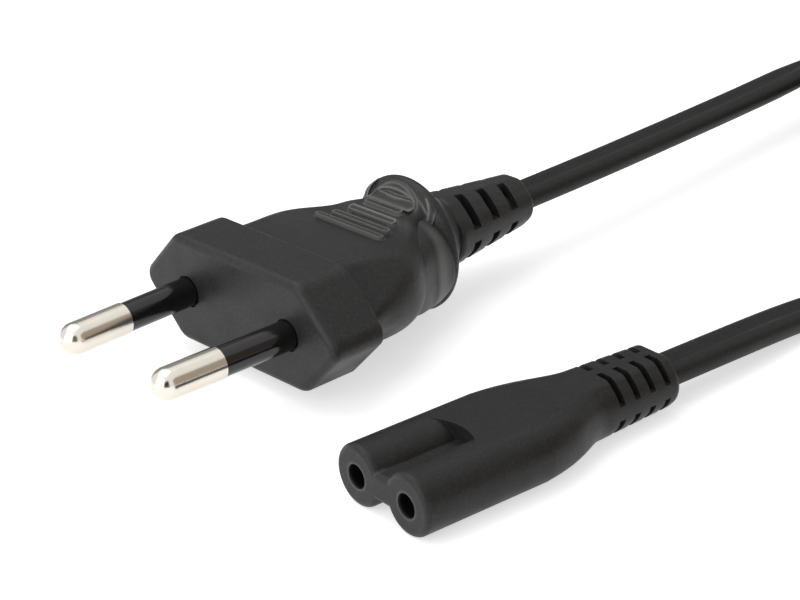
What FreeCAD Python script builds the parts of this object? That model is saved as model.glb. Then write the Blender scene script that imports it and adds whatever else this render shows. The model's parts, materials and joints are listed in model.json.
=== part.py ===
import FreeCAD, Part
import math
import os

# A mains lead: a moulded two-pin plug, a flat twin cord and a moulded figure-8 connector.
# The origin is the centre of the plug's engagement face. The pins point along -Y, X runs
# across them and Z is up. All sizes are in millimetres.

Vec = FreeCAD.Vector
up = Vec(0, 0, 1)
along = Vec(0, 1, 0)
os.makedirs("parts", exist_ok=True)

# Pins
pin_spacing = 18.6          # between the axes at the engagement face
pin_converge = 1.66         # degrees that each axis leans towards the other
pin_dia = 4.0
pin_reach = 19.0            # from the face to the rounded end
sleeve_dia = 3.68
sleeve_reach = 10.0         # from the face to the bare metal
shank_dia = 3.0             # inside the sleeve and the carrier
collar_dia = 4.6
collar_depth = 1.2
barrel_dia = 3.2
barrel_length = 4.5
ring_gap = 0.2              # shallow ring in the face, round each sleeve
ring_depth = 0.4

# Hard carrier that holds both pins, inside the moulding
carrier_front = 1.5         # from the face
carrier_depth = 4.4
carrier_margin = 1.2        # of carrier round the collar
carrier_window = 8.0        # width of the slot that the moulding flows through
carrier_window_height = 3.2

# Plug head
head_width = 35.5
head_height = 14.0
head_depth = 7.8
head_tip_r = 1.9
head_corner_r = 2.5
face_edge_r = 1.0
head_back_edge_r = 0.5

# Plug waist, between the head and the grip flange
waist_step = 0.95           # from the head's top down to the waist's
waist_side_step = 3.1       # from the head's tips in to the waist's
waist_tip_r = 1.5
waist_corner_r = 2.0
grip_height = 10.3          # over the thinnest place, where the ribs are
grip_width = 24.9
grip_tip_r = 6.0
grip_at = 18.5              # from the face
neck_width = 15.2           # where the waist meets the flange
neck_tip_r = 6.8
neck_rise = 0.85            # from the grip's top up to the foot of the flange

# Grip flange
flange_dia = 17.8
flange_foot_r = 5.6         # where its dished front starts
flange_foot = 25.6          # from the face, at the foot
flange_rim = 27.8           # from the face, at the widest place
flange_rim_r = 0.8          # rounding of the rim
flange_front_turn = 65.0    # degrees of the rounding, forwards
flange_back_turn = 50.0     # and backwards
bell_hollow = 0.25          # of the tapered back
bell_end_r = 4.6
bell_end = 32.8             # from the face

# Ribs on the grip and the relief pattern on the flange's front
rib_count = 4
rib_first = 18.3            # from the face
rib_pitch = 1.92
rib_width = 0.95
rib_proud = 0.42
rib_long = 12.2
rib_short = 6.6
pad_radius = 3.9
pad_height = 2.2
pad_base = 6.2              # above the pins' plane
pad_bar = 0.75              # width of its raised border
pad_proud = 0.45
arc_hub_x = 2.9             # from the middle, to the arc's own centre
arc_hub_z = 5.4
arc_inner = 2.6
arc_width = 0.9
arc_low = -18.0             # degrees from the horizontal
arc_high = 52.0

# Flat twin cord
cord_width = 5.4
cord_thickness = 2.7
core_dia = 2.6
core_offset = 1.35          # of each split core from the cord's middle
strand_dia = 1.13
stripped = 1.5              # bare copper behind a crimp barrel

# Slotted strain relief of the plug
relief_width = 11.0
relief_height = 9.7
relief_tip_r = 3.9
relief_corner_r = 3.0
relief_start = 32.2         # from the face
relief_end = 46.9
relief_taper = 0.69         # end size over start size
relief_front_r = 0.7
relief_edge_r = 0.9
slot_count = 3
slot_first = 35.3           # middle of the first slot, from the face
slot_pitch = 3.75
slot_width = 1.4
slot_wall = 0.55            # left round the cord
web_height = 1.7            # solid strip along each side
ridge_width = 2.6           # solid strip along the top and the bottom
split_at = 31.0             # where the cord parts into its two cores, from the face

# Figure-8 connector
contact_spacing = 8.6
entry_dia = 2.9
contact_mouth = 2.0         # behind the connector's face
mating_pin_dia = 2.4
contact_play = 0.05         # on the radius
contact_wall = 0.4
contact_grip = 8.0
contact_neck = 1.0
contact_slit = 0.36
contact_slit_length = 4.5
connector_barrel_dia = 2.9
connector_barrel_length = 3.6
lobe_radius = 3.65          # half the connector's height
connector_tip_r = 3.58
connector_corner_r = 3.45
connector_edge_r = 0.65
web_thickness = 3.3         # between the top and bottom grooves
lobe_length = 11.2          # of the grooves between the two lobes
lobe_blend = 1.6            # by which the grooves' ends are rounded
body_length = 17.5          # of the straight body
tail_length = 10.8          # of the taper
tail_step = 0.03            # by which the taper starts inside the body
connector_relief_width = 9.6
connector_relief_height = 7.2
connector_relief_tip_r = 3.4
connector_relief_corner_r = 1.6
connector_relief_length = 11.6
connector_relief_taper = 0.9
connector_slot_count = 4
connector_slot_first = 2.2  # from the start of the strain relief
connector_slot_pitch = 2.42
connector_slot_width = 0.9
connector_web_height = 1.7
connector_ridge_width = 1.2
holder_wall = 0.75          # of the holder round each contact
holder_web = 1.8
connector_split = 29.0      # where the cord parts, from the connector's face

# Where the connector lies beside the plug
connector_x = 37.47
connector_y = -11.19
connector_yaw = -4.66

# Coil of the cord's unseen length
coil_mean_radius = 28.0
coil_turns = 7.5
coil_pitch = 2.8            # from turn to turn across the coil
coil_layers = 2
coil_edge_r = 1.2
coil_center = Vec(28.2, 138.0, 0)
tie_thickness = 0.8
tie_width = 7.0
tie_angle = 112.0           # degrees, from +X

# Places worked out from the sizes above
floor_z = -flange_dia / 2
cord_rest_z = floor_z + cord_thickness / 2 + 0.05
connector_z = floor_z + lobe_radius
layer_z = cord_width + 0.1
coil_low_z = floor_z + tie_thickness
coil_width = (coil_turns / coil_layers) * coil_pitch + cord_thickness
coil_height = (coil_layers - 1) * layer_z + cord_width
first_turn_z = coil_low_z + cord_width / 2
last_turn_z = first_turn_z + (coil_layers - 1) * layer_z
coil_outer = coil_mean_radius + coil_width / 2
turn_outer = coil_outer - cord_thickness / 2


def tip_arc_span(tip_r):
    """Distance by which a 45 degree corner stands out past its rounded tip."""
    return tip_r * (math.sqrt(2) - 1)


def outline(half_w, half_h, tip_r, corner_r, y):
    """Closed outline with flat top and bottom, 45 degree shoulders and rounded side tips."""
    s45 = math.sqrt(0.5)
    shoulder = corner_r * math.tan(math.radians(22.5)) * s45
    tip_r = min(tip_r, 0.98 * (half_h - shoulder) / s45)
    diagonal = half_w + tip_arc_span(tip_r)
    flat_end = diagonal - half_h - corner_r * math.tan(math.radians(22.5))
    sin22 = math.sin(math.radians(22.5))
    cos22 = math.cos(math.radians(22.5))

    def at(x, z):
        return Vec(x, y, z)

    def quarter(sx, sz):
        """Corner points from the flat to the tip, for one of the four quarters."""
        return {
            "flat": at(sx * flat_end, sz * half_h),
            "bend": at(sx * (flat_end + corner_r * sin22), sz * (half_h - corner_r + corner_r * cos22)),
            "slope": at(sx * (diagonal - half_h + shoulder), sz * (half_h - shoulder)),
            "tip": at(sx * (half_w - tip_r + tip_r * s45), sz * tip_r * s45),
        }

    ne, nw, sw, se = quarter(1, 1), quarter(-1, 1), quarter(-1, -1), quarter(1, -1)
    edges = [
        Part.LineSegment(nw["flat"], ne["flat"]).toShape(),
        Part.Arc(ne["flat"], ne["bend"], ne["slope"]).toShape(),
        Part.LineSegment(ne["slope"], ne["tip"]).toShape(),
        Part.Arc(ne["tip"], at(half_w, 0), se["tip"]).toShape(),
        Part.LineSegment(se["tip"], se["slope"]).toShape(),
        Part.Arc(se["slope"], se["bend"], se["flat"]).toShape(),
        Part.LineSegment(se["flat"], sw["flat"]).toShape(),
        Part.Arc(sw["flat"], sw["bend"], sw["slope"]).toShape(),
        Part.LineSegment(sw["slope"], sw["tip"]).toShape(),
        Part.Arc(sw["tip"], at(-half_w, 0), nw["tip"]).toShape(),
        Part.LineSegment(nw["tip"], nw["slope"]).toShape(),
        Part.Arc(nw["slope"], nw["bend"], nw["flat"]).toShape(),
    ]
    return Part.Wire(edges)


def prism(wire, depth):
    return Part.Face(wire).extrude(along * depth)


def loft(sections, ruled=False):
    return Part.makeLoft([outline(*section) for section in sections], True, ruled)


def edges_at(shape, y):
    """Edges that lie wholly in the plane across the axis at y."""
    return [e for e in shape.Edges if abs(e.BoundBox.YMin - y) < 1e-4 and abs(e.BoundBox.YMax - y) < 1e-4]


def cylinder(radius, start, direction, length):
    return Part.makeCylinder(radius, length, start, direction)


def slab(half_w, half_h, y0, y1):
    return Part.makeBox(2 * half_w, y1 - y0, 2 * half_h, Vec(-half_w, y0, -half_h))


def stadium(width, height, center, side, rise):
    """Flat oval outline about a centre, with its width along side and its height along rise."""
    r = height / 2
    run = side * (width / 2 - r)
    top = rise * r
    tip = side * (width / 2)
    a, b = center + run + top, center + run - top
    c, d = center - run - top, center - run + top
    return Part.Wire([
        Part.LineSegment(d, a).toShape(),
        Part.Arc(a, center + tip, b).toShape(),
        Part.LineSegment(b, c).toShape(),
        Part.Arc(c, center - tip, d).toShape(),
    ])


def smooth_path(points):
    """Straight runs joined by tangent arcs, each as large as its two runs allow."""
    edges = []
    radii = []
    start = points[0]
    for before, corner, after in zip(points, points[1:], points[2:]):
        a = before - corner
        b = after - corner
        turn = math.pi - a.getAngle(b)
        setback = 0.45 * min(a.Length, b.Length)
        radius = setback / math.tan(turn / 2)
        a.normalize()
        b.normalize()
        enter = corner + a * setback
        leave = corner + b * setback
        bisector = (a + b).normalize()
        middle = corner + bisector * (radius / math.cos(turn / 2) - radius)
        edges.append(Part.LineSegment(start, enter).toShape())
        edges.append(Part.Arc(enter, middle, leave).toShape())
        radii.append(radius)
        start = leave
    edges.append(Part.LineSegment(start, points[-1]).toShape())
    return Part.Wire(edges), radii


def flat_cord(points, name):
    """Plain flat oval cord along a route, with its width level at the start."""
    path, radii = smooth_path(points)
    heading = (points[1] - points[0]).normalize()
    side = heading.cross(up).normalize()
    section = stadium(cord_width, cord_thickness, points[0], side, side.cross(heading))
    solid = path.makePipeShell([section], True, False)
    expected = Part.Face(section).Area * path.Length
    print(f"{name}: length {path.Length:.1f}, volume {solid.Volume:.1f} of {expected:.1f},"
          f" radii {[round(r, 1) for r in radii]}")
    return solid


def round_tube(points, radius):
    path, _ = smooth_path(points)
    heading = (points[1] - points[0]).normalize()
    section = Part.Wire([Part.makeCircle(radius, points[0], heading)])
    return path.makePipeShell([section], True, False)


def revolve_profile(points, origin, axis):
    """Solid of revolution: points are (radius, distance along the axis), arcs given as triples."""
    side = axis.cross(up).normalize()

    def at(p):
        return origin + side * p[0] + axis * p[1]

    edges = []
    for first, second in zip(points, points[1:]):
        if len(second) == 4:
            edges.append(Part.Arc(at(first[-2:]), at(second[:2]), at(second[-2:])).toShape())
        else:
            edges.append(Part.LineSegment(at(first[-2:]), at(second)).toShape())
    edges.append(Part.LineSegment(at(points[-1][-2:]), at(points[0])).toShape())
    return Part.Face(Part.Wire(edges)).revolve(origin, axis, 360)


# Pins, sleeves and carrier

def pin_axis(side):
    """Where a pin's axis meets the face, and the way that the pin points."""
    lean = math.radians(pin_converge)
    return Vec(side * pin_spacing / 2, 0, 0), Vec(-side * math.sin(lean), -math.cos(lean), 0)


collar_at = -(carrier_front + 0.8)
carrier_back = carrier_front + carrier_depth
barrel_start = -(carrier_back + 0.6)
barrel_end = barrel_start - barrel_length
core_start = barrel_end - stripped


def make_pin(side):
    origin, axis = pin_axis(side)
    r = pin_dia / 2
    shank = shank_dia / 2
    strand = strand_dia / 2
    round_start = pin_reach - r
    profile = [
        (0, pin_reach),
        (r * math.sqrt(0.5), round_start + r * math.sqrt(0.5), r, round_start),
        (r, sleeve_reach),
        (shank, sleeve_reach),
        (shank, collar_at),
        (collar_dia / 2, collar_at),
        (collar_dia / 2, collar_at - collar_depth),
        (shank, collar_at - collar_depth),
        (shank, barrel_start),
        (barrel_dia / 2, barrel_start),
        (barrel_dia / 2, barrel_end),
        (strand, barrel_end),
        (strand, barrel_start - 0.8),
        (0, barrel_start - 0.8),
    ]
    return revolve_profile(profile, origin, axis)


def make_sleeve(side):
    origin, axis = pin_axis(side)
    start = origin - axis * carrier_front
    length = sleeve_reach + carrier_front
    return cylinder(sleeve_dia / 2, start, axis, length).cut(cylinder(shank_dia / 2, start, axis, length))


def make_carrier(inserts):
    radius = collar_dia / 2 + carrier_margin
    width = pin_spacing + 2 * radius + 0.4
    center = Vec(0, carrier_front, 0)
    side = Vec(1, 0, 0)
    bar = prism(stadium(width, 2 * radius, center, side, up), carrier_depth)
    window = prism(stadium(carrier_window, carrier_window_height, center, side, up), carrier_depth)
    return bar.cut([window] + inserts)


# Cores and stripped strands in the plug

def make_plug_strands(side):
    origin, axis = pin_axis(side)
    start = barrel_start - 0.8
    return cylinder(strand_dia / 2, origin + axis * start, -axis, start - core_start)


def make_plug_core(side):
    origin, axis = pin_axis(side)
    route = [
        origin + axis * core_start,
        origin + axis * (core_start - 4.4),
        Vec(side * core_offset, split_at - 4.6, 0),
        Vec(side * core_offset, split_at, 0),
    ]
    return round_tube(route, core_dia / 2)


# Plug moulding

def waist_sections(grow=0.0):
    """Sections from inside the head to inside the flange; grow raises the top and bottom."""
    back = head_depth
    tip_x = head_width / 2 - waist_side_step
    top = head_height / 2 - waist_step
    grip_x = grip_width / 2
    grip_z = grip_height / 2
    neck_x = neck_width / 2
    neck_z = grip_z + neck_rise
    close = grip_x - neck_x
    length = flange_foot - grip_at
    climb = flange_rim - flange_foot
    rows = [
        (tip_x + 0.15, top + 0.05, waist_tip_r, waist_corner_r, back - 2.0),
        (tip_x, top, waist_tip_r, waist_corner_r, back + 1.5),
        (tip_x - 0.25 * (tip_x - grip_x), top - 0.25 * (top - grip_z), 0.6 * waist_tip_r + 0.4 * grip_tip_r,
         waist_corner_r, back + 0.45 * (grip_at - back)),
        (grip_x, grip_z, grip_tip_r, waist_corner_r, grip_at),
        (grip_x - 0.62 * close, grip_z + 0.35 * neck_rise, 0.5 * (grip_tip_r + neck_tip_r), waist_corner_r + 0.2,
         grip_at + 0.56 * length),
        (neck_x + 0.02 * close, neck_z, neck_tip_r, waist_corner_r + 0.6, flange_foot - 0.4),
        (neck_x - 0.2, neck_z + 0.8, neck_tip_r + 0.6, waist_corner_r + 1.0, flange_foot + 0.3 * climb),
        (neck_x - 0.1, neck_z + 1.7, neck_tip_r + 1.2, waist_corner_r + 1.6, flange_foot + 0.65 * climb),
        (neck_x - 0.4, neck_z + 1.2, neck_tip_r + 0.6, waist_corner_r + 1.6, flange_rim + 0.3),
    ]
    return [(w, h + grow, t, c, y) for w, h, t, c, y in rows]


def relief_shape(width, height, tip_r, corner_r, y0, y1, taper, edge_r, front_r=0.0):
    """Tapered strain relief with its free end rounded, and its front end where asked."""
    start = (width / 2, height / 2, tip_r, corner_r, y0)
    end = (width / 2 * taper, height / 2 * taper, tip_r * taper, corner_r * taper, y1)
    solid = loft([start, end], True)
    solid = solid.makeFillet(edge_r, edges_at(solid, y1))
    return solid.makeFillet(front_r, edges_at(solid, y0)) if front_r else solid


def slot_cutters(count, first, pitch, width, web, ridge, reach):
    """Ring slots, interrupted by four solid strips and by the wall round the cord."""
    inner = stadium(cord_width + 2 * slot_wall, cord_thickness + 2 * slot_wall,
                    Vec(0, first - pitch, 0), Vec(1, 0, 0), up)
    kept = prism(inner, (count + 1) * pitch)
    strips = [slab(reach, web / 2, first - pitch, first + count * pitch),
              slab(ridge / 2, reach, first - pitch, first + count * pitch)]
    cutters = []
    for k in range(count):
        middle = first + k * pitch
        ring = slab(reach, reach, middle - width / 2, middle + width / 2)
        cutters.append(ring.cut([kept] + strips))
    return cutters


def make_flange(grow=0.0):
    """Round flange with a dished front and a tapered back; grow brings its front forwards."""
    rim = flange_dia / 2 - flange_rim_r

    def on_rim(degrees):
        a = math.radians(degrees)
        return rim + flange_rim_r * math.cos(a), flange_rim + flange_rim_r * math.sin(a)

    front = on_rim(-flange_front_turn)
    back = on_rim(flange_back_turn)
    fall = math.hypot(back[0] - bell_end_r, bell_end - back[1])
    hollow_r = (back[0] + bell_end_r) / 2 - bell_hollow * (bell_end - back[1]) / fall
    hollow_y = (back[1] + bell_end) / 2 - bell_hollow * (back[0] - bell_end_r) / fall
    profile = [
        (0, flange_foot - grow),
        (flange_foot_r, flange_foot - grow),
        (front[0], front[1] - grow),
        (*on_rim(0), *back),
        (hollow_r, hollow_y, bell_end_r, bell_end),
        (0, bell_end),
    ]
    return revolve_profile(profile, Vec(0, 0, 0), along)


def half_round(radius, height, base, y):
    """Half-round outline standing on a level line, across the axis at y."""
    left, right = Vec(-radius, y, base), Vec(radius, y, base)
    return Part.Wire([
        Part.LineSegment(left, right).toShape(),
        Part.Arc(right, Vec(0, y, base + height), left).toShape(),
    ])


def make_grip_pattern():
    """Cross ribs on the grip, with a bordered half-round and two arcs on the flange's front."""
    grip = loft(waist_sections(rib_proud))
    stamps = []
    for k in range(rib_count):
        length = rib_long + (rib_short - rib_long) * k / (rib_count - 1)
        y = rib_first + k * rib_pitch
        bar = Part.Face(stadium(length, rib_width, Vec(0, y, 0), Vec(1, 0, 0), along))
        stamps.append(bar.extrude(up * flange_dia))
    raised = [stamp.common(grip) for stamp in stamps]

    start = flange_foot - 1.0
    depth = flange_rim - start
    border = prism(half_round(pad_radius, pad_height, pad_base, start), depth)
    border = border.cut(prism(half_round(pad_radius - pad_bar, pad_height - 2 * pad_bar, pad_base + pad_bar,
                                         start),
                              depth))
    marks = [border]
    for side in (1, -1):
        hub = Vec(side * arc_hub_x, start, arc_hub_z)
        ends = []
        for radius in (arc_inner, arc_inner + arc_width):
            for angle in (arc_low, (arc_low + arc_high) / 2, arc_high):
                a = math.radians(angle)
                ends.append(hub + Vec(side * radius * math.cos(a), 0, radius * math.sin(a)))
        i0, i1, i2, o0, o1, o2 = ends
        marks.append(prism(Part.Wire([
            Part.Arc(i0, i1, i2).toShape(),
            Part.LineSegment(i2, o2).toShape(),
            Part.Arc(o2, o1, o0).toShape(),
            Part.LineSegment(o0, i0).toShape(),
        ]), depth))
    front = make_flange(pad_proud).fuse(loft(waist_sections(pad_proud)))
    raised += [mark.common(front) for mark in marks]
    under = [r.mirror(Vec(0, 0, 0), up) for r in raised]
    return raised + under


def make_ring(side):
    """Cutter for the shallow ring in the face, round a sleeve."""
    origin, axis = pin_axis(side)
    return cylinder(sleeve_dia / 2 + ring_gap, origin - axis * ring_depth, axis, 2 * ring_depth)


def make_plug_body(inner):
    head = prism(outline(head_width / 2, head_height / 2, head_tip_r, head_corner_r, 0), head_depth)
    head = head.makeFillet(face_edge_r, edges_at(head, 0))
    head = head.makeFillet(head_back_edge_r, edges_at(head, head_depth))
    waist = loft(waist_sections())
    relief = relief_shape(relief_width, relief_height, relief_tip_r, relief_corner_r,
                          relief_start, relief_end, relief_taper, relief_edge_r, relief_front_r)
    relief = relief.cut(slot_cutters(slot_count, slot_first, slot_pitch, slot_width,
                                     web_height, ridge_width, relief_width))
    body = head.fuse([waist, make_flange(), relief] + make_grip_pattern())
    return body.cut(inner + [make_ring(1), make_ring(-1)]).removeSplitter()


# Figure-8 connector, modelled with its face at y = 0 and placed at the end

holder_back = contact_mouth + contact_grip + 0.4
contact_neck_end = contact_mouth + contact_grip + contact_neck
contact_bore_r = mating_pin_dia / 2 + contact_play
contact_outer_r = contact_bore_r + contact_wall
connector_barrel_end = contact_neck_end + connector_barrel_length
connector_core_start = connector_barrel_end + stripped
relief_from = body_length + tail_length
connector_end = relief_from + connector_relief_length


def make_contact(side):
    origin = Vec(side * contact_spacing / 2, 0, 0)
    bore = contact_bore_r
    wall = contact_outer_r
    neck = connector_barrel_dia / 2
    strand = strand_dia / 2
    profile = [
        (bore, contact_mouth),
        (wall, contact_mouth),
        (wall, contact_mouth + contact_grip),
        (neck, contact_mouth + contact_grip),
        (neck, connector_barrel_end),
        (strand, connector_barrel_end),
        (strand, contact_neck_end),
        (0, contact_neck_end),
        (0, contact_mouth + contact_grip - 0.6),
        (bore, contact_mouth + contact_grip - 0.6),
    ]
    contact = revolve_profile(profile, origin, along)
    slit = slab(contact_slit / 2, wall + 1, contact_mouth, contact_mouth + contact_slit_length)
    slit.translate(origin)
    return contact.cut(slit)


def make_holder():
    """Two joined sleeves of hard plastic round the contacts."""
    outer = contact_outer_r + holder_wall
    inner = contact_outer_r
    length = holder_back - contact_mouth
    sleeves = []
    bores = []
    for side in (1, -1):
        start = Vec(side * contact_spacing / 2, contact_mouth, 0)
        sleeves.append(cylinder(outer, start, along, length))
        bores.append(cylinder(inner, start, along, contact_grip))
        bores.append(cylinder(connector_barrel_dia / 2, start, along, length))
    bridge = slab(contact_spacing / 2, holder_web / 2, contact_mouth, holder_back)
    return sleeves[0].fuse([sleeves[1], bridge]).cut(bores).removeSplitter()


def make_connector_strands(side):
    start = Vec(side * contact_spacing / 2, contact_neck_end, 0)
    return cylinder(strand_dia / 2, start, along, connector_core_start - contact_neck_end)


def make_connector_core(side):
    x = side * contact_spacing / 2
    route = [
        Vec(x, connector_core_start, 0),
        Vec(x, connector_core_start + 3.0, 0),
        Vec(side * core_offset, connector_split - 3.0, 0),
        Vec(side * core_offset, connector_split, 0),
    ]
    return round_tube(route, core_dia / 2)


def make_lobes():
    """Front of the connector: two round lobes with rounded faces, joined by a web."""
    lobes = []
    for side in (1, -1):
        lobe = cylinder(lobe_radius, Vec(side * contact_spacing / 2, 0, 0), along, lobe_length)
        lobes.append(lobe.makeFillet(connector_edge_r, edges_at(lobe, 0)))
    web = slab(contact_spacing / 2, web_thickness / 2, 0, lobe_length)
    long_edges = [e for e in edges_at(web, 0) if e.BoundBox.XLength > 1]
    return lobes[0].fuse([lobes[1], web.makeFillet(connector_edge_r, long_edges)])


def make_body_straight(half_w):
    """Straight part behind the lobes; its front edge curves back to round the grooves' ends."""
    start = lobe_length - lobe_blend
    solid = prism(stadium(2 * half_w, 2 * lobe_radius, Vec(0, start, 0), Vec(1, 0, 0), up), body_length - start)
    reach = contact_spacing / 2
    corner = Vec(-reach, start, -lobe_radius)
    far = Vec(reach, start, -lobe_radius)
    hollow = Part.Wire([
        Part.LineSegment(corner, far).toShape(),
        Part.Arc(far, Vec(0, lobe_length, -lobe_radius), corner).toShape(),
    ])
    hollow = Part.Face(hollow).extrude(up * 2 * lobe_radius)
    keep = slab(reach, web_thickness / 2, start, lobe_length)
    return solid.cut(hollow.cut(keep))


def make_connector_body(inner):
    half_w = contact_spacing / 2 + lobe_radius
    straight = (half_w - tail_step, lobe_radius - tail_step, connector_tip_r, connector_corner_r)
    body = make_lobes().fuse(make_body_straight(half_w))
    rx, rz = connector_relief_width / 2, connector_relief_height / 2
    tail = loft([
        (*straight, body_length - 1.0),
        (*straight, body_length),
        (half_w - 0.14 * (half_w - rx), lobe_radius, connector_tip_r, connector_corner_r,
         body_length + 0.25 * tail_length),
        (half_w - 0.52 * (half_w - rx), lobe_radius - 0.4 * (lobe_radius - rz), connector_tip_r,
         connector_corner_r - 0.4, body_length + 0.6 * tail_length),
        (rx + 0.06 * (half_w - rx), rz, connector_relief_tip_r, connector_relief_corner_r,
         body_length + 0.9 * tail_length),
        (rx, rz, connector_relief_tip_r, connector_relief_corner_r, relief_from),
    ])
    relief = relief_shape(connector_relief_width, connector_relief_height, connector_relief_tip_r,
                          connector_relief_corner_r, relief_from, connector_end,
                          connector_relief_taper, relief_edge_r)
    relief = relief.cut(slot_cutters(connector_slot_count, relief_from + connector_slot_first,
                                     connector_slot_pitch, connector_slot_width,
                                     connector_web_height, connector_ridge_width,
                                     connector_relief_width))
    entries = []
    for side in (1, -1):
        start = Vec(side * contact_spacing / 2, 0, 0)
        entries.append(cylinder(entry_dia / 2, start, along, contact_mouth))
        entries.append(cylinder(contact_outer_r, start + along * contact_mouth, along, contact_grip))
    return body.fuse([tail, relief]).cut(entries + inner).removeSplitter()


def place_connector(shape):
    placed = shape.copy()
    placed.rotate(Vec(0, 0, 0), up, connector_yaw)
    placed.translate(Vec(connector_x, connector_y, connector_z))
    return placed


def connector_point(x, y):
    turned = FreeCAD.Rotation(up, connector_yaw).multVec(Vec(x, y, 0))
    return turned + Vec(connector_x, connector_y, connector_z)


# Cord routes and coil

def lead_out_route():
    """From the split inside the plug, with a slight sag, to the coil's upper turns."""
    return [
        Vec(0, split_at, 0),
        Vec(0, 55.0, 0),
        Vec(-1.75, 79.0, -0.6),
        Vec(-4.65, 109.0, -1.5),
        Vec(coil_center.x - turn_outer, coil_center.y, last_turn_z),
    ]


def lead_in_route():
    """From the connector's split, down to the floor and over it to the coil's lowest turns."""
    join = Vec(coil_center.x + turn_outer, coil_center.y, first_turn_z)
    return [
        connector_point(0, connector_split),
        connector_point(0, connector_end + 9.6),
        Vec(40.3, 58.6, cord_rest_z + 0.05),
        Vec(46.6, 80.0, cord_rest_z),
        Vec(join.x - 4.0, join.y - 41.0, first_turn_z - 1.4),
        Vec(join.x - 0.1, join.y - 20.0, first_turn_z - 0.2),
        join,
    ]


def make_coil():
    """Outer shape of the wound turns, with the two cord ends that leave it."""
    inner = coil_outer - coil_width
    section = Part.makeBox(coil_width, 1, coil_height, Vec(inner, 0, coil_low_z))
    face = min(section.Faces, key=lambda f: f.CenterOfMass.y)
    ring = Part.Face(face.OuterWire).revolve(Vec(0, 0, 0), up, 360)
    rims = [e for e in ring.Edges if isinstance(e.Curve, Part.Circle)]
    ring = ring.makeFillet(coil_edge_r, rims)
    ring.translate(Vec(coil_center.x, coil_center.y, 0))
    return ring


def make_tie(coil):
    """Band round the coil's turns."""
    size = coil_width + 2 * tie_thickness
    height = coil_height + 2 * tie_thickness
    middle = coil_outer - coil_width / 2
    block = Part.makeBox(size, tie_width, height,
                         Vec(middle - size / 2, -tie_width / 2, coil_low_z - tie_thickness))
    long_edges = [e for e in block.Edges if e.BoundBox.YLength > tie_width - 0.01]
    block = block.makeFillet(coil_edge_r + tie_thickness, long_edges)
    block.rotate(Vec(0, 0, 0), up, tie_angle)
    block.translate(Vec(coil_center.x, coil_center.y, 0))
    return block.cut(coil)


# Build and write every node

sides = {"left": -1, "right": 1}
nodes = {}

pins = {name: make_pin(side) for name, side in sides.items()}
for name, side in sides.items():
    nodes[f"pin_{name}"] = pins[name]
    nodes[f"pin_sleeve_{name}"] = make_sleeve(side)
    nodes[f"plug_core_{name}"] = make_plug_core(side)
    nodes[f"plug_strands_{name}"] = make_plug_strands(side)
nodes["pin_carrier"] = make_carrier(list(nodes.values()))

connector_inner = {"contact_holder": make_holder()}
for name, side in sides.items():
    connector_inner[f"contact_{name}"] = make_contact(side)
    connector_inner[f"connector_core_{name}"] = make_connector_core(side)
    connector_inner[f"connector_strands_{name}"] = make_connector_strands(side)

coil = make_coil()
nodes["cord_lead_out"] = flat_cord(lead_out_route(), "cord_lead_out").cut(coil)
nodes["cord_lead_in"] = flat_cord(lead_in_route(), "cord_lead_in").cut(coil)
nodes["cord_coil"] = coil
nodes["coil_tie"] = make_tie(coil)

nodes["plug_body"] = make_plug_body(list(nodes.values()))
channel = prism(stadium(cord_width, cord_thickness, Vec(0, connector_split, 0), Vec(1, 0, 0), up),
                connector_end - connector_split + 1)
connector_body = make_connector_body(list(connector_inner.values()) + [channel])
connector_inner["connector_body"] = connector_body
for name, shape in connector_inner.items():
    nodes[name] = place_connector(shape)

for name, shape in nodes.items():
    solids = shape.Solids
    assert len(solids) == 1, f"{name} has {len(solids)} solids"
    assert solids[0].isValid(), f"{name} is not valid"
    solids[0].exportStep(f"parts/{name}.step")
    print(f"{name}: {solids[0].Volume:.1f} cubic mm")
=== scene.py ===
import json
import math

import bmesh
import bpy
from mathutils import Matrix, Vector

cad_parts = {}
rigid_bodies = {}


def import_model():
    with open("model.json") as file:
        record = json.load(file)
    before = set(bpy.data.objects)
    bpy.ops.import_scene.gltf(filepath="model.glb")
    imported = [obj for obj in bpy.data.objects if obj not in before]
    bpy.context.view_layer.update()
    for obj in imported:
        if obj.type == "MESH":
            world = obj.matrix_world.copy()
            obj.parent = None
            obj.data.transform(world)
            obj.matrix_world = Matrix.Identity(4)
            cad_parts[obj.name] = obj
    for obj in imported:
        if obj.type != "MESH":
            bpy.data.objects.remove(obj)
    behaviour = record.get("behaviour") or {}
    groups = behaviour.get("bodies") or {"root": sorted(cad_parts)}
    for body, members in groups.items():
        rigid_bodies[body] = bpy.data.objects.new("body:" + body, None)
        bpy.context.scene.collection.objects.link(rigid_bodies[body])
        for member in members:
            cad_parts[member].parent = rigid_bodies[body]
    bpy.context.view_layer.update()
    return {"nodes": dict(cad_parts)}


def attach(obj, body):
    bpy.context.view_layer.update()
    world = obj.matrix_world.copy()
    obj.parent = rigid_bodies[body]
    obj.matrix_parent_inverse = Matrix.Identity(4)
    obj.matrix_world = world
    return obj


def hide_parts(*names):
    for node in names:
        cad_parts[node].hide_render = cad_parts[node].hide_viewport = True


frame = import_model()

sceneObjects = bpy.context.scene.collection.objects

# Camera, at the photograph's angle

cameraView = {
    "azimuth": 48.626,       # degrees, turned from looking along +Y
    "elevation": 24.562,
    "roll": -3.106,
    "distance": 0.271204,    # from the middle of the plug's face, along the view
    "focalPixels": 2287.6,
    "imageWidth": 800,
    "imageCentre": (400, 300),
    "facePixel": (236.274, 312.89),    # where the middle of the plug's face is seen
    "sensor": 36.0,
    "nearest": 0.01,
}


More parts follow.
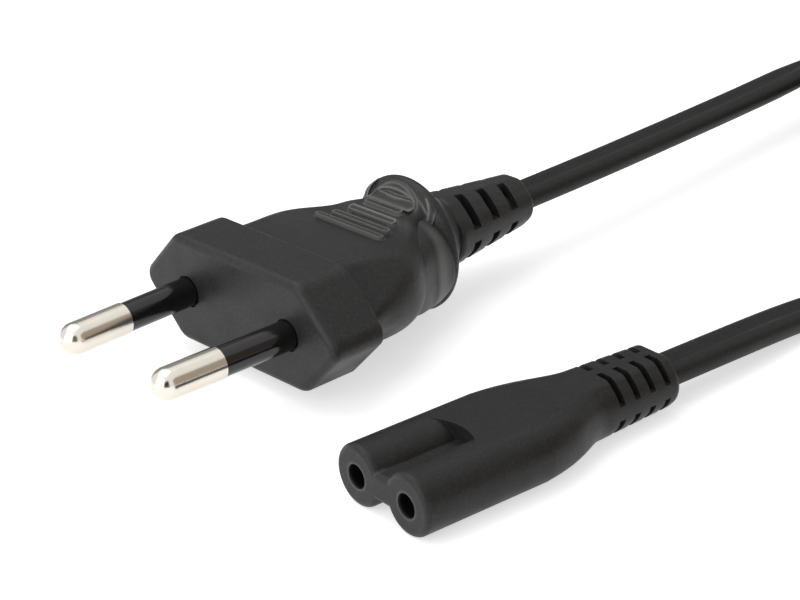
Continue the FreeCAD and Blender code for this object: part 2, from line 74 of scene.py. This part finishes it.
def addCamera(look):
    az, el, roll = (math.radians(look[k]) for k in ("azimuth", "elevation", "roll"))
    towards = Vector((math.sin(az) * math.cos(el), -math.cos(az) * math.cos(el), math.sin(el)))
    level = Vector((math.cos(az), math.sin(az), 0))
    upright = towards.cross(level)
    right = level * math.cos(roll) + upright * math.sin(roll)
    up = upright * math.cos(roll) - level * math.sin(roll)
    perPixel = look["distance"] / look["focalPixels"]
    shiftRight = (look["facePixel"][0] - look["imageCentre"][0]) * perPixel
    shiftUp = (look["imageCentre"][1] - look["facePixel"][1]) * perPixel
    eye = towards * look["distance"] - right * shiftRight - up * shiftUp
    data = bpy.data.cameras.new("viewCamera")
    data.sensor_width = look["sensor"]
    data.lens = look["focalPixels"] / look["imageWidth"] * look["sensor"]
    data.clip_start = look["nearest"]
    camera = bpy.data.objects.new("viewCamera", data)
    sceneObjects.link(camera)
    turn = Matrix((right, up, towards)).transposed().to_4x4()
    camera.matrix_world = Matrix.Translation(eye) @ turn
    bpy.context.scene.camera = camera
    return towards, right


toCamera, viewRight = addCamera(cameraView)
print("camera set")

# Node helpers

millimetre = 0.001
fadeIn = (0.0, 1.0)
fadeOut = (1.0, 0.0)


def feed(tree, value, socket):    # links another node's output, or sets a plain value
    if hasattr(value, "is_output"):
        tree.links.new(value, socket)
    else:
        socket.default_value = value


def addNode(tree, kind, inputs=None, **settings):
    node = tree.nodes.new(kind)
    for key, value in settings.items():
        setattr(node, key, value)
    for key, value in (inputs or {}).items():
        feed(tree, value, node.inputs[key])
    return node


def calculate(tree, operation, *values):
    node = addNode(tree, "ShaderNodeMath", dict(enumerate(values)), operation=operation)
    return node.outputs[0]


def remap(tree, value, low, high, toLow, toHigh):
    node = addNode(tree, "ShaderNodeMapRange", {
        "Value": value, "From Min": low, "From Max": high, "To Min": toLow, "To Max": toHigh})
    return node.outputs["Result"]


def blendColour(tree, factor, first, second):
    mix = addNode(tree, "ShaderNodeMix", {0: factor, 6: first, 7: second}, data_type="RGBA")
    return mix.outputs[2]


def addNoise(tree, place, scale, detail):
    node = addNode(tree, "ShaderNodeTexNoise", {"Vector": place, "Scale": scale, "Detail": detail})
    return node.outputs["Fac"]


def objectPlace(tree):
    return addNode(tree, "ShaderNodeTexCoord").outputs["Object"]


def splitAxes(tree, place):
    return addNode(tree, "ShaderNodeSeparateXYZ", {"Vector": place}).outputs


def newGroup(name, inputs, outputs):
    group = bpy.data.node_groups.new(name, "ShaderNodeTree")
    for key, value in inputs.items():
        socket = group.interface.new_socket(key, in_out="INPUT", socket_type="NodeSocketFloat")
        socket.default_value = value
    for key in outputs:
        group.interface.new_socket(key, in_out="OUTPUT", socket_type="NodeSocketFloat")
    return group, addNode(group, "NodeGroupInput").outputs, addNode(group, "NodeGroupOutput").inputs


def useGroup(tree, group, **values):
    return addNode(tree, "ShaderNodeGroup", values, node_tree=group).outputs


def bareNodes(owner, outputKind):    # a material's or the world's nodes: only an output
    owner.use_nodes = True
    owner.node_tree.nodes.clear()
    output = addNode(owner.node_tree, outputKind)
    return owner.node_tree, output.inputs["Surface"]


def newMaterial(name):
    material = bpy.data.materials.new(name)
    tree, surface = bareNodes(material, "ShaderNodeOutputMaterial")
    shader = addNode(tree, "ShaderNodeBsdfPrincipled")
    feed(tree, shader.outputs["BSDF"], surface)
    return material, tree, shader.inputs


# Shared effects

fineDetail = 3.0
softDetail = 2.0
fleckRange = (0.46, 0.74)     # the part of the grain that shows as flecks
fleckStrength = (0.0, 0.9)
areaLimits = ("alongFrom", "alongTo", "across", "height")


def makeGrainGroup():    # fine moulded grain and its flecks, with wide soft patches
    group, start, end = newGroup(
        "mouldGrain", {"Size": 0.4, "Patch": 6.0}, ["Height", "Flecks", "Mottle"])
    place = objectPlace(group)
    scale = calculate(group, "DIVIDE", 1 / millimetre, start["Size"])
    grain = addNoise(group, place, scale, fineDetail)
    scale = calculate(group, "DIVIDE", 1 / millimetre, start["Patch"])
    patches = addNoise(group, place, scale, softDetail)
    feed(group, grain, end["Height"])
    feed(group, remap(group, grain, *fleckRange, *fleckStrength), end["Flecks"])
    feed(group, patches, end["Mottle"])
    return group


def makeWearGroup():    # edges rubbed a little lighter by handling; the same edge mask also carries the painted highlights
    group, start, end = newGroup("edgeWear", {"Reach": 0.0003, "Low": 0.04, "High": 0.40}, ["Mask"])
    soft = addNode(group, "ShaderNodeBevel", {"Radius": start["Reach"]}, samples=4)
    shape = addNode(group, "ShaderNodeNewGeometry")
    alike = addNode(group, "ShaderNodeVectorMath", {
        0: soft.outputs["Normal"], 1: shape.outputs["Normal"]}, operation="DOT_PRODUCT")
    away = calculate(group, "SUBTRACT", 1.0, alike.outputs["Value"])
    feed(group, remap(group, away, start["Low"], start["High"], *fadeIn), end["Mask"])
    return group


def makeDustGroup():    # small pale specks
    group, start, end = newGroup("dustSpecks", {"Spacing": 1.6, "Amount": 0.1}, ["Mask"])
    scale = calculate(group, "DIVIDE", 1 / millimetre, start["Spacing"])
    cells = addNode(group, "ShaderNodeTexVoronoi", {
        "Vector": objectPlace(group), "Scale": scale, "Randomness": 1.0})
    feed(group, remap(group, cells.outputs["Distance"], start["Amount"], 0.0, *fadeIn), end["Mask"])
    return group


def makeHighlightAreaGroup():    # keeps the painted highlight on edges to one area: from and to along Y, and off the middle
    limits = [limit + end for limit in areaLimits for end in ("Low", "High")]
    group, start, end = newGroup("highlightArea", dict.fromkeys(["Wear", *limits], 0.0), ["Mask"])
    axes = splitAxes(group, objectPlace(group))
    side = calculate(group, "ABSOLUTE", axes["X"])
    rise = calculate(group, "ABSOLUTE", axes["Z"])
    mask = start["Wear"]
    for limit, value, fade in zip(areaLimits, (axes["Y"], axes["Y"], side, rise),
                                  (fadeIn, fadeOut, fadeOut, fadeIn)):
        part = remap(group, value, start[limit + "Low"], start[limit + "High"], *fade)
        mask = calculate(group, "MULTIPLY", mask, part)
    feed(group, mask, end["Mask"])
    return group


grainGroup = makeGrainGroup()
wearAndHighlightGroup = makeWearGroup()
dustGroup = makeDustGroup()
highlightAreaGroup = makeHighlightAreaGroup()

# Finish of the mouldings and the cord, with painted highlights and painted shade

mouldedVinyl = {
    "deep": (0.013, 0.013, 0.013, 1), "pale": (0.020, 0.020, 0.0195, 1),
    "worn": (0.036, 0.036, 0.035, 1), "fleck": (0.031, 0.031, 0.0303, 1),
    "dust": (0.072, 0.070, 0.066, 1), "rough": (0.38, 0.52), "shine": 0.30,
    "grainSize": 0.38, "grainDepth": 0.000018, "patch": 4.0,    # in millimetres, depth in metres
    "speckSpacing": 1.5, "speckAmount": 0.06,
}
connectorVinyl = {
    **mouldedVinyl, "deep": (0.010, 0.010, 0.010, 1), "pale": (0.017, 0.017, 0.0167, 1),
    "worn": (0.034, 0.034, 0.033, 1), "fleck": (0.024, 0.024, 0.0235, 1), "shine": 0.26,
}
cordVinyl = {
    "deep": (0.011, 0.011, 0.011, 1), "pale": (0.016, 0.016, 0.0155, 1),
    "worn": (0.022, 0.022, 0.022, 1), "fleck": (0.022, 0.022, 0.0215, 1),
    "dust": (0.045, 0.043, 0.041, 1), "rough": (0.42, 0.54), "shine": 0.22,
    "grainSize": 0.5, "grainDepth": 0.000012, "patch": 8.0,
    "speckSpacing": 2.4, "speckAmount": 0.05,
}
gripHighlight = {    # painted highlight: ribs and raised pads painted pale where they catch the light, on both broad faces
    "pale": (0.190, 0.190, 0.184, 1), "reach": 0.0006, "low": 0.004, "high": 0.07,
    "alongFrom": (0.0146, 0.0154), "alongTo": (0.0268, 0.0273),    # where it fades in and out along Y
    "across": (0.0066, 0.0074), "height": (0.0045, 0.0055),        # and how far from the middle
}
mouthHighlight = {    # painted highlight: the connector's front edges and the rims of its holes painted pale
    "pale": (0.110, 0.110, 0.107, 1), "reach": 0.0006, "low": 0.004, "high": 0.10,
    "alongFrom": (-0.0200, -0.0190), "alongTo": (-0.0100, -0.0090),
    "across": (0.080, 0.090), "height": (-0.002, -0.001),
}
paintedBoreShade = {    # painted shade: the connector's two holes darkened inside, where shade falls
    "shadedTone": (0.0015, 0.0015, 0.0015, 1),
    "origin": (0.03747, -0.01119, -0.00525), "turn": -0.08133,    # the connector's own place
    "aside": 0.0043, "radius": (0.00150, 0.00165),
    "depth": (0.0001, 0.0006), "until": (0.010, 0.012),
}
patchRange = (0.3, 0.7)    # the part of the noise that changes the gloss


def roughen(tree, shader, patches, height, rough, depth):    # patchy gloss and a fine relief
    feed(tree, remap(tree, patches, *patchRange, *rough), shader["Roughness"])
    bump = addNode(tree, "ShaderNodeBump", {"Height": height, "Distance": depth})
    feed(tree, bump.outputs["Normal"], shader["Normal"])


def newVinyl(name, look):    # the bare finish, and the colour that wear, dust, painted highlights and painted shade then cover
    material, tree, shader = newMaterial(name)
    grain = useGroup(tree, grainGroup, Size=look["grainSize"], Patch=look["patch"])
    toned = blendColour(tree, grain["Mottle"], look["deep"], look["pale"])
    toned = blendColour(tree, grain["Flecks"], toned, look["fleck"])
    roughen(tree, shader, grain["Mottle"], grain["Height"], look["rough"], look["grainDepth"])
    shader["Specular IOR Level"].default_value = look["shine"]
    return material, tree, shader, toned


def dustOver(tree, colour, look):
    dust = useGroup(tree, dustGroup, Spacing=look["speckSpacing"], Amount=look["speckAmount"])
    return blendColour(tree, dust["Mask"], colour, look["dust"])


def highlightEdges(tree, look):    # mask for the painted highlight over the edges that stand in one area of a piece
    edgeMask = useGroup(tree, wearAndHighlightGroup, Reach=look["reach"], Low=look["low"], High=look["high"])
    limits = {limit + end: value for limit in areaLimits
              for end, value in zip(("Low", "High"), look[limit])}
    return useGroup(tree, highlightAreaGroup, Wear=edgeMask["Mask"], **limits)["Mask"]


def insideBores(tree, look):    # mask over the walls of the two holes, where the shade is painted
    local = addNode(tree, "ShaderNodeMapping", {
        "Vector": objectPlace(tree), "Location": look["origin"],
        "Rotation": (0.0, 0.0, look["turn"])}, vector_type="TEXTURE")
    axes = splitAxes(tree, local.outputs["Vector"])
    off = calculate(tree, "SUBTRACT", calculate(tree, "ABSOLUTE", axes["X"]), look["aside"])
    flat = addNode(tree, "ShaderNodeCombineXYZ", {"X": off, "Z": axes["Z"]})
    away = addNode(tree, "ShaderNodeVectorMath", {0: flat.outputs["Vector"]}, operation="LENGTH")
    mask = remap(tree, away.outputs["Value"], *look["radius"], *fadeOut)
    for limits, fade in (("depth", fadeIn), ("until", fadeOut)):
        mask = calculate(tree, "MULTIPLY", mask, remap(tree, axes["Y"], *look[limits], *fade))
    return mask


def makeVinyl(name, look, highlightLook=None, boreShadeLook=None):
    material, tree, shader, colour = newVinyl(name, look)
    colour = blendColour(tree, useGroup(tree, wearAndHighlightGroup)["Mask"], colour, look["worn"])
    if highlightLook:
        # painted highlight: the edges of one area painted pale
        colour = blendColour(tree, highlightEdges(tree, highlightLook), colour, highlightLook["pale"])
    colour = dustOver(tree, colour, look)
    if boreShadeLook:
        # painted shade inside the holes
        colour = blendColour(tree, insideBores(tree, boreShadeLook), colour, boreShadeLook["shadedTone"])
    feed(tree, colour, shader["Base Color"])
    return material


# Plated pins and contacts

nickelPlate = {
    "bright": (0.80, 0.765, 0.70, 1), "warm": (0.70, 0.64, 0.55, 1), "rough": (0.14, 0.26),
    "drawnScale": 1400.0, "drawnStretch": (1.0, 0.04, 1.0), "drawnDepth": 0.000003,
    "cloudScale": 260.0,
}


def makeNickel(look):
    material, tree, shader = newMaterial("nickelPlate")
    place = objectPlace(tree)
    stretch = addNode(tree, "ShaderNodeMapping", {"Vector": place, "Scale": look["drawnStretch"]})
    drawn = addNoise(tree, stretch.outputs["Vector"], look["drawnScale"], fineDetail)
    cloud = addNoise(tree, place, look["cloudScale"], softDetail)
    feed(tree, blendColour(tree, cloud, look["bright"], look["warm"]), shader["Base Color"])
    roughen(tree, shader, drawn, drawn, look["rough"], look["drawnDepth"])
    shader["Metallic"].default_value = 1.0
    return material


# Sleeves, the coil's band and the pieces inside the mouldings

glossySleeve = {
    "deep": (0.006, 0.006, 0.0065, 1), "pale": (0.011, 0.011, 0.011, 1), "rough": (0.10, 0.20),
    "grainSize": 1.2, "grainDepth": 0.000006, "patch": 3.0, "metal": 0.0,
}
innerPiece = {"grainSize": 0.6, "grainDepth": 0.000008, "patch": 2.5, "metal": 0.0}
carrierPlastic = {
    **innerPiece, "deep": (0.02, 0.02, 0.02, 1), "pale": (0.03, 0.03, 0.03, 1), "rough": (0.44, 0.58),
}
brownCore = {
    **innerPiece, "deep": (0.10, 0.035, 0.015, 1), "pale": (0.14, 0.05, 0.02, 1), "rough": (0.39, 0.53),
}
blueCore = {
    **innerPiece, "deep": (0.02, 0.09, 0.32, 1), "pale": (0.03, 0.12, 0.40, 1), "rough": (0.39, 0.53),
}
copperStrands = {
    **innerPiece, "deep": (0.62, 0.26, 0.13, 1), "pale": (0.78, 0.38, 0.22, 1), "rough": (0.26, 0.40),
    "metal": 1.0,
}
tieBand = {
    **innerPiece, "deep": (0.02, 0.02, 0.021, 1), "pale": (0.032, 0.032, 0.033, 1), "rough": (0.54, 0.68),
}


def makeGrained(name, look):
    material, tree, shader = newMaterial(name)
    grain = useGroup(tree, grainGroup, Size=look["grainSize"], Patch=look["patch"])
    toned = blendColour(tree, grain["Mottle"], look["deep"], look["pale"])
    feed(tree, toned, shader["Base Color"])
    roughen(tree, shader, grain["Mottle"], grain["Height"], look["rough"], look["grainDepth"])
    shader["Metallic"].default_value = look["metal"]
    return material


def finishNodes(material, *names):
    for name in names:
        for place in frame["nodes"][name].material_slots:
            place.material = material


finishNodes(makeVinyl("gripVinyl", mouldedVinyl, gripHighlight), "plug_body")
finishNodes(makeVinyl("connectorVinyl", connectorVinyl, mouthHighlight, paintedBoreShade), "connector_body")
jacket = makeVinyl("cordVinyl", cordVinyl)
finishNodes(makeGrained("glossySleeve", glossySleeve), "pin_sleeve_left", "pin_sleeve_right")
finishNodes(makeNickel(nickelPlate), "pin_left", "pin_right", "contact_left", "contact_right")
finishNodes(makeGrained("carrierPlastic", carrierPlastic), "pin_carrier", "contact_holder")
finishNodes(makeGrained("brownCore", brownCore), "plug_core_left", "connector_core_left")
finishNodes(makeGrained("blueCore", blueCore), "plug_core_right", "connector_core_right")
finishNodes(makeGrained("copperStrands", copperStrands), "plug_strands_left", "plug_strands_right",
            "connector_strands_left", "connector_strands_right")
finishNodes(makeGrained("tieBand", tieBand), "coil_tie")
print("materials made")

# Mesh helpers


def joinRings(mesh, rings):    # walls from ring to ring, and a face over each end
    for near, far in zip(rings, rings[1:]):
        for k in range(len(near)):
            n = (k + 1) % len(near)
            mesh.faces.new((near[k], near[n], far[n], far[k])).smooth = True
    mesh.faces.new(rings[0])
    mesh.faces.new(rings[-1])
    bmesh.ops.recalc_face_normals(mesh, faces=mesh.faces)


def newPiece(name, mesh, material):
    data = bpy.data.meshes.new(name)
    mesh.to_mesh(data)
    mesh.free()
    data.materials.append(material)
    piece = bpy.data.objects.new(name, data)
    sceneObjects.link(piece)
    return piece


# Cord: its points are the source's own route points, in metres

cordLook = {
    "width": 0.0054, "thickness": 0.0027, "web": 0.0019,    # two round lobes joined by a web
    "lobeFaces": 16, "curveSteps": 6,
    "coilCentre": (0.0282, 0.138), "outerTurn": 0.03325, "innerTurn": 0.0229,
    "pointsPerTurn": 16, "layerTurns": 3.61, "crossTurns": 0.28,
    "upperZ": 0.0001, "lowerZ": -0.0054,
    "firstRun": 0.2, "onEdgeFrom": 0.105, "onEdgeBy": 0.139,    # along Y, where it turns on edge
    "lastRun": 0.9, "levelFrom": 0.134, "levelBy": 0.090,       # and where it turns level again
    "exit": (0, 0.0469, 0),
}
leadOutPoints = [
    (0, 0.031, 0), (0, 0.055, 0), (-0.00175, 0.079, -0.0006), (-0.00465, 0.109, -0.0015),
]
leadInPoints = [
    (0.06135, 0.118, -0.0056), (0.05745, 0.097, -0.0068), (0.0466, 0.080, -0.0075),
    (0.0403, 0.0586, -0.00745), (0.04149, 0.03815, -0.00525), (0.03983, 0.01771, -0.00525),
]


def smoothShare(value, low, high):    # 0 up to low, 1 from high, and a soft step between
    t = min(1, max(0, (value - low) / (high - low)))
    return t * t * (3 - 2 * t)


def coilPoints(look):    # clockwise from above: wound inwards on top, then outwards below
    reach = 1 / math.cos(math.pi / look["pointsPerTurn"])    # the spline runs inside its points
    total = 2 * look["layerTurns"] + look["crossTurns"]
    points = []
    for k in range(round(total * look["pointsPerTurn"]) + 1):
        turn = k / look["pointsPerTurn"]
        angle = math.pi - 2 * math.pi * turn
        inwards = min(turn, total - turn, look["layerTurns"]) / look["layerTurns"]
        radius = look["outerTurn"] + (look["innerTurn"] - look["outerTurn"]) * inwards
        drop = smoothShare(turn, look["layerTurns"], look["layerTurns"] + look["crossTurns"])
        height = look["upperZ"] + (look["lowerZ"] - look["upperZ"]) * drop
        points.append((look["coilCentre"][0] + reach * radius * math.cos(angle),
                       look["coilCentre"][1] + reach * radius * math.sin(angle), height))
    return points


def cordCentreLine(look):
    points = leadOutPoints + coilPoints(look) + leadInPoints
    curve = bpy.data.curves.new("cordRoute", "CURVE")
    curve.dimensions = "3D"
    curve.resolution_u = look["curveSteps"]
    spline = curve.splines.new("NURBS")
    spline.points.add(len(points) - 1)
    for point, place in zip(spline.points, points):
        point.co = (*place, 1)
    spline.order_u = 3
    spline.use_endpoint_u = True
    route = bpy.data.objects.new("cordRoute", curve)
    sceneObjects.link(route)
    bpy.context.view_layer.update()
    line = bpy.data.meshes.new_from_object(route)
    places = [v.co.copy() for v in line.vertices]
    bpy.data.objects.remove(route)
    bpy.data.curves.remove(curve)
    bpy.data.meshes.remove(line)
    return places


def cordSection(look):    # outline of the two lobes and the web
    radius = look["thickness"] / 2
    offset = look["width"] / 2 - radius
    gap = math.asin(look["web"] / look["thickness"])
    outline = []
    for facing, side in ((0, 1), (math.pi, -1)):
        for k in range(look["lobeFaces"] + 1):
            angle = facing + (math.pi - gap) * (2 * k / look["lobeFaces"] - 1)
            outline.append((side * offset + radius * math.cos(angle), radius * math.sin(angle)))
    return outline


def cordTilt(look, place, progress):    # 0 with the width level, a quarter turn with it upright
    upright = math.pi / 2
    if progress < look["firstRun"]:
        return upright * smoothShare(place.y, look["onEdgeFrom"], look["onEdgeBy"])
    if progress > look["lastRun"]:
        return upright * (1 - smoothShare(-place.y, -look["levelFrom"], -look["levelBy"]))
    return upright


def buildCord(look):
    line = cordCentreLine(look)
    outline = cordSection(look)
    total = sum((b - a).length for a, b in zip(line, line[1:]))
    mesh = bmesh.new()
    rings = []
    travelled = 0
    for k, place in enumerate(line):
        ahead = line[min(k + 1, len(line) - 1)]
        behind = line[max(k - 1, 0)]
        heading = (ahead - behind).normalized()
        across = heading.cross(Vector((0, 0, 1))).normalized()
        rise = across.cross(heading)
        if k:
            travelled += (place - line[k - 1]).length
        tilt = cordTilt(look, place, travelled / total)
        wide = across * math.cos(tilt) + rise * math.sin(tilt)
        thick = wide.cross(heading)
        rings.append([mesh.verts.new(place + wide * x + thick * z) for x, z in outline])
    joinRings(mesh, rings)
    cord = newPiece("flatTwinCord", mesh, jacket)
    print(f"cord {travelled:.3f} m, {len(cord.data.polygons)} faces")
    return cord, line, travelled


cord, cordLine, cordLength = buildCord(cordLook)
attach(cord, "root")
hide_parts("cord_lead_out", "cord_coil", "cord_lead_in")

# Sides of the grip, filled out to the flange's rim

gripCheeks = {
    "around": 48, "smoothing": 2, "lowered": -0.0007,
    "sections": (    # along Y, half the width, half the height, squareness
        (0.0180, 0.0119, 0.0044, 2.4), (0.0195, 0.01140, 0.0052, 2.7),
        (0.0210, 0.01062, 0.0058, 3.0), (0.0224, 0.00988, 0.0062, 3.2),
        (0.0236, 0.00936, 0.0063, 3.2), (0.0244, 0.00912, 0.0064, 3.2),
        (0.0254, 0.00904, 0.0064, 3.0), (0.0262, 0.00902, 0.0063, 2.8),
        (0.0270, 0.00898, 0.0062, 2.5), (0.0276, 0.00888, 0.0060, 2.4),
        (0.0282, 0.0083, 0.0055, 2.3), (0.0286, 0.0070, 0.0046, 2.2),
    ),
    # painted highlight: a pale band painted along the flange's rim
    "rimHighlight": (0.250, 0.250, 0.244, 1), "rimHighlightFrom": (0.0242, 0.0250), "rimHighlightTo": (0.0256, 0.0272),
    "rimHighlightHeight": (0.0055, -0.0045), "rimHighlightStrength": (0.15, 1.0),    # painted highlight, weaker towards the top
}


def makeRimHighlightVinyl(look, base):    # the moulding's finish, with a painted highlight along the flange's rim
    material, tree, shader, colour = newVinyl("rimHighlightVinyl", base)
    axes = splitAxes(tree, objectPlace(tree))
    starts = remap(tree, axes["Y"], *look["rimHighlightFrom"], *fadeIn)
    ends = remap(tree, axes["Y"], *look["rimHighlightTo"], *fadeOut)
    lower = remap(tree, axes["Z"], *look["rimHighlightHeight"], *look["rimHighlightStrength"])
    mask = calculate(tree, "MULTIPLY", calculate(tree, "MULTIPLY", starts, ends), lower)
    # painted highlight along the rim
    colour = blendColour(tree, mask, colour, look["rimHighlight"])
    feed(tree, dustOver(tree, colour, base), shader["Base Color"])
    return material


def squaredRing(mesh, y, wide, high, square, around, lowered):
    ring = []
    for k in range(around):
        angle = 2 * math.pi * k / around
        c, s = math.cos(angle), math.sin(angle)
        reach = (abs(c) ** square + abs(s) ** square) ** (-1 / square)
        ring.append(mesh.verts.new((wide * reach * c, y, high * reach * s + lowered)))
    return ring


def addGripCheeks(look):
    mesh = bmesh.new()
    joinRings(mesh, [squaredRing(mesh, *section, look["around"], look["lowered"])
                     for section in look["sections"]])
    piece = newPiece("gripCheeks", mesh, makeRimHighlightVinyl(look, mouldedVinyl))
    bpy.ops.object.select_all(action="DESELECT")
    piece.select_set(True)
    bpy.context.view_layer.objects.active = piece
    smoothing = piece.modifiers.new("smoothing", "SUBSURF")
    smoothing.levels = smoothing.render_levels = look["smoothing"]
    bpy.ops.object.modifier_apply(modifier="smoothing")
    bpy.ops.object.shade_smooth()
    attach(piece, "root")
    print(f"grip sides filled out, {len(piece.data.polygons)} faces")


addGripCheeks(gripCheeks)

# Floor, surroundings and light

studio = {
    "floorZ": -0.00892, "floorSize": 6.0, "ownWhite": 0.58, "litWhite": 0.90, "bounce": 0.80,
    "ambient": 0.40,
    "aim": (0.02, 0.03, 0.0),    # what the lamps face
    "lamps": {    # offset right, back and up, as the camera sees it
        "keySoftbox": {"offset": (-0.20, 0.10, 0.70), "size": 0.70, "watts": 2.0},
        "fillSoftbox": {"offset": (-0.55, -0.50, 0.35), "size": 0.80, "watts": 3.1},
    },
    "cards": {    # offset right and back
        "backCard": {"offset": (0.0, 1.10), "width": 2.40, "height": 1.00,
                     "shade": (0.30, 0.30, 0.30, 1)},
        "sideCard": {"offset": (0.90, -0.10), "width": 1.20, "height": 0.75,
                     "shade": (0.42, 0.36, 0.30, 1)},
        "frontCard": {"offset": (0.0, -0.80), "width": 0.50, "height": 0.70,
                      "shade": (0.07, 0.045, 0.03, 1)},
    },
}
plainWhite = (1, 1, 1, 1)


def besideView(right, back, up=0.0):    # level directions of the camera's view
    sideways = Vector((viewRight.x, viewRight.y, 0)).normalized()
    backwards = Vector((-toCamera.x, -toCamera.y, 0)).normalized()
    return sideways * right + backwards * back + Vector((0, 0, up))


def addSheet(name, size, scale, place, rotation):
    bpy.ops.object.select_all(action="DESELECT")
    bpy.ops.mesh.primitive_plane_add(size=size, location=place, rotation=rotation)
    sheet = bpy.context.object
    sheet.name = name
    sheet.scale = (*scale, 1)
    bpy.ops.object.transform_apply(location=True, rotation=True, scale=True)
    material = bpy.data.materials.new(name)
    sheet.data.materials.append(material)
    return sheet, *bareNodes(material, "ShaderNodeOutputMaterial")


def seenDirectly(tree):    # camera, glossy and transmission rays
    rays = addNode(tree, "ShaderNodeLightPath").outputs
    either = calculate(tree, "MAXIMUM", rays["Is Camera Ray"], rays["Is Glossy Ray"])
    return calculate(tree, "MAXIMUM", either, rays["Is Transmission Ray"])


def mixShaders(tree, factor, first, second):
    mix = addNode(tree, "ShaderNodeMixShader", {0: factor, 1: first, 2: second})
    return mix.outputs[0]


def addFloor(look):
    middle = (0, 0, look["floorZ"])
    _, tree, surface = addSheet("paleFloor", look["floorSize"], (1, 1), middle, (0, 0, 0))
    glow = addNode(tree, "ShaderNodeEmission", {"Color": plainWhite, "Strength": look["ownWhite"]})
    lit = addNode(tree, "ShaderNodeBsdfDiffuse", {"Color": (*[look["litWhite"]] * 3, 1)})
    bounce = addNode(tree, "ShaderNodeBsdfDiffuse", {"Color": (*[look["bounce"]] * 3, 1)})
    seen = addNode(tree, "ShaderNodeAddShader", {0: glow.outputs[0], 1: lit.outputs[0]})
    feed(tree, mixShaders(tree, seenDirectly(tree), bounce.outputs[0], seen.outputs[0]), surface)


def addCard(name, look, floorZ):    # grey card beside the set, which only reflections show
    foot = besideView(*look["offset"])
    middle = (foot.x, foot.y, floorZ + look["height"] / 2)
    facing = math.atan2(foot.y, foot.x) + math.pi / 2
    card, tree, surface = addSheet(name, 1.0, (look["width"], look["height"]), middle,
                                   (math.pi / 2, 0, facing))
    grey = addNode(tree, "ShaderNodeEmission", {"Color": look["shade"], "Strength": 1.0})
    feed(tree, grey.outputs[0], surface)
    card.visible_camera = False
    card.visible_diffuse = False
    card.visible_shadow = False
    card.visible_transmission = False


def addWorld(look):
    world = bpy.data.worlds.new("whiteStudio")
    bpy.context.scene.world = world
    tree, surface = bareNodes(world, "ShaderNodeOutputWorld")
    ambient = addNode(tree, "ShaderNodeBackground", {"Color": plainWhite, "Strength": look["ambient"]})
    white = addNode(tree, "ShaderNodeBackground", {"Color": plainWhite, "Strength": 1.0})
    feed(tree, mixShaders(tree, seenDirectly(tree), ambient.outputs[0], white.outputs[0]), surface)


def addSoftbox(name, look, aim):
    place = aim + besideView(*look["offset"])
    data = bpy.data.lights.new(name, "AREA")
    data.shape = "SQUARE"
    data.size = look["size"]
    data.energy = look["watts"]
    lamp = bpy.data.objects.new(name, data)
    sceneObjects.link(lamp)
    lamp.location = place
    lamp.rotation_euler = (place - aim).to_track_quat("Z", "Y").to_euler()


addFloor(studio)
for name, look in studio["cards"].items():
    addCard(name, look, studio["floorZ"])
addWorld(studio)
for name, look in studio["lamps"].items():
    addSoftbox(name, look, Vector(studio["aim"]))
bpy.context.scene.view_settings.view_transform = "Standard"
print("floor and lights placed")
